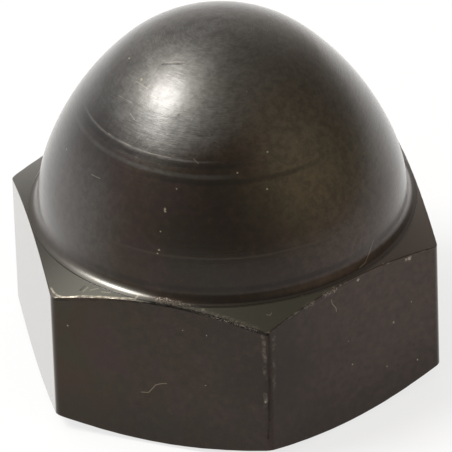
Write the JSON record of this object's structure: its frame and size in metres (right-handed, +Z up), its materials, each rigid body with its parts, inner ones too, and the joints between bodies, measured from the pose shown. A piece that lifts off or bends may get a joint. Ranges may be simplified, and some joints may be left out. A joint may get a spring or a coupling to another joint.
{
  "type": "cap nut",
  "caption": "Hexagon nut closed by a tall dome, with a blind tapped hole in its flat bearing face, in dark oxide steel.",
  "frame": {"origin": "middle of the bearing face, on the thread's axis", "axes": "+Z up the thread's axis to the tip of the dome, +X out of one of the six flats"},
  "size_m": [0.017, 0.0196, 0.0164],
  "materials": {
    "black_oxide_steel": "satin"
  },
  "bodies": {
    "root": {"cap_nut": "black_oxide_steel"}
  },
  "joints": []
}
